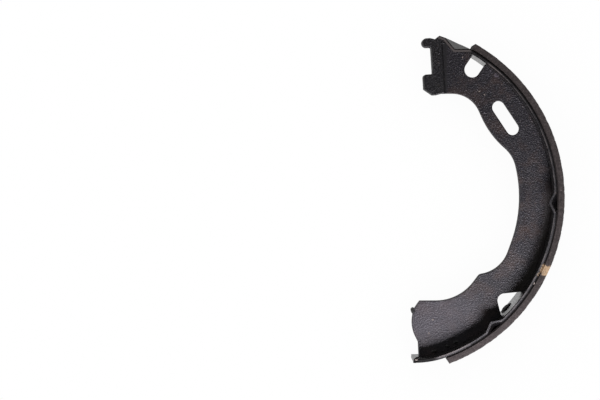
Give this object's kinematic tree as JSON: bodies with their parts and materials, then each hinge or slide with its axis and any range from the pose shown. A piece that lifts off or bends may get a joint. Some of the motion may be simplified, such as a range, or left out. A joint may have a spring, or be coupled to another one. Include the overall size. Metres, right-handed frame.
{
  "type": "brake shoe",
  "caption": "Parking-brake shoe: a stamped web in a rolled table with pressed nibs, a bonded curved lining and a doubled forked end.",
  "frame": {"origin": "on the crown of the lining's friction face, in the plane of the table's lower edge, on which the shoe lies; the drum's axis is parallel to Z at X -97.5 mm", "axes": "+Z parallel to the drum's axis, +X from that axis through the middle of the shoe's back, +Y towards the forked end"},
  "size_m": [0.0835, 0.1802, 0.0325],
  "materials": {
    "web_paint": "satin black, dusty",
    "table_paint": "satin black",
    "fork_plate_paint": "satin black",
    "lining_friction": "matt dark grey friction material with fine pale and metallic grains"
  },
  "bodies": {
    "root": {"web": "web_paint", "table": "table_paint", "lining": "lining_friction", "fork_plate_upper": "fork_plate_paint", "fork_plate_lower": "fork_plate_paint"}
  },
  "joints": []
}
